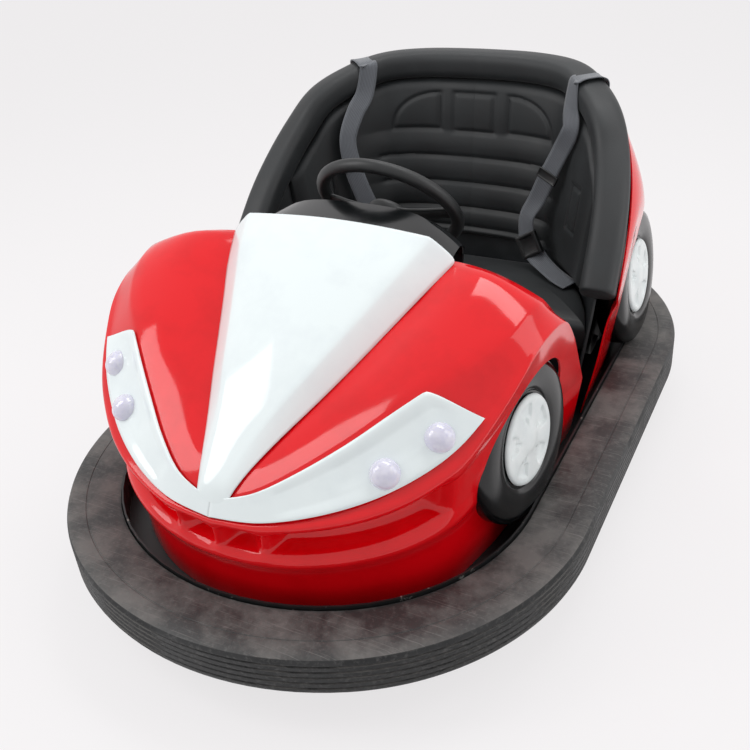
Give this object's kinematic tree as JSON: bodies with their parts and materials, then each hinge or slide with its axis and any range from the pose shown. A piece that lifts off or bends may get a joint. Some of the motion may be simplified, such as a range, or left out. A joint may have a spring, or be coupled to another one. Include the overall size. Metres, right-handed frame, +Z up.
{
  "type": "battery bumper car",
  "caption": "Two-seat battery bumper car with an oval rubber ring, moulded sports-car body, padded tub seat, seat belts and a steered drive unit in front.",
  "frame": {"origin": "on the floor under the middle of the car's box", "axes": "+Z up, -Y to the car's front, +X to the car's left"},
  "size_m": [1.216, 1.88, 0.8812],
  "materials": {
    "rubber_ring": "worn, scuffed and dusty moulded rubber",
    "rim_steel": "black paint, chipped along the edge",
    "chassis_steel": "black paint, dusty",
    "red_shell": "gloss red gelcoat on moulded glass fibre",
    "white_shell": "gloss white gelcoat on moulded glass fibre",
    "lamp_lens": "milky moulded plastic",
    "moulded_tyre": "gloss black gelcoat",
    "hub_cap": "satin white paint",
    "vinyl": "matt black upholstery vinyl",
    "tub_plastic": "matt black moulding",
    "dash_plastic": "gloss black moulding",
    "wheel_grip": "moulded soft black plastic",
    "mast_steel": "black paint",
    "cast_case": "painted casting",
    "motor_case": "satin paint",
    "battery_case": "moulded case",
    "solid_tyre": "solid rubber tread",
    "webbing": "woven grey webbing"
  },
  "bodies": {
    "chassis": {"backrest_pad": "vinyl", "battery_block": "battery_case", "bonnet_panel": "white_shell", "bumper_rim": "rim_steel", "bumper_ring": "rubber_ring", "chassis_plate": "chassis_steel", "dash_cowl": "dash_plastic", "front_body": "red_shell", "headlamp_housing_left": "white_shell", "headlamp_housing_right": "white_shell", "hub_cap_front_left": "hub_cap", "hub_cap_front_right": "hub_cap", "hub_cap_rear_left": "hub_cap", "hub_cap_rear_right": "hub_cap", "lamp_lens_left_inner": "lamp_lens", "lamp_lens_left_outer": "lamp_lens", "lamp_lens_right_inner": "lamp_lens", "lamp_lens_right_outer": "lamp_lens", "rear_axle": "mast_steel", "rear_body": "red_shell", "road_wheel_front_left": "moulded_tyre", "road_wheel_front_right": "moulded_tyre", "road_wheel_rear_left": "moulded_tyre", "road_wheel_rear_right": "moulded_tyre", "seat_base": "tub_plastic", "seat_bolster": "vinyl", "seat_cushion": "vinyl", "seat_tub": "tub_plastic", "sill_left": "tub_plastic", "sill_right": "tub_plastic", "steering_box": "cast_case", "steering_column": "mast_steel", "steering_mast": "mast_steel"},
    "steering": {"steering_wheel": "wheel_grip"},
    "drive_unit": {"drive_fork": "mast_steel", "drive_motor": "motor_case"},
    "drive_road_wheel": {"drive_wheel": "solid_tyre"},
    "rear_road_wheel_left": {"rear_wheel_left": "solid_tyre"},
    "rear_road_wheel_right": {"rear_wheel_right": "solid_tyre"}
  },
  "joints": [
    {"name": "drive_swivel", "type": "hinge", "parent": "chassis", "child": "drive_unit", "pos_m": [0, -0.4, 0.3], "axis": [0, 0, 1], "continuous": true},
    {"name": "steering_turn", "type": "hinge", "parent": "chassis", "child": "steering", "pos_m": [0, 0.02, 0.67], "axis": [0, 0.7934, 0.6088], "continuous": true},
    {"name": "drive_wheel_spin", "type": "hinge", "parent": "drive_unit", "child": "drive_road_wheel", "pos_m": [0, -0.4, 0.11], "axis": [1, 0, 0], "continuous": true},
    {"name": "rear_wheel_left_spin", "type": "hinge", "parent": "chassis", "child": "rear_road_wheel_left", "pos_m": [0.36, 0.5, 0.1], "axis": [1, 0, 0], "continuous": true},
    {"name": "rear_wheel_right_spin", "type": "hinge", "parent": "chassis", "child": "rear_road_wheel_right", "pos_m": [-0.36, 0.5, 0.1], "axis": [1, 0, 0], "continuous": true}
  ],
  "couplings": [
    {"joint": "steering_turn", "follows": "drive_swivel", "ratio": 1}
  ]
}
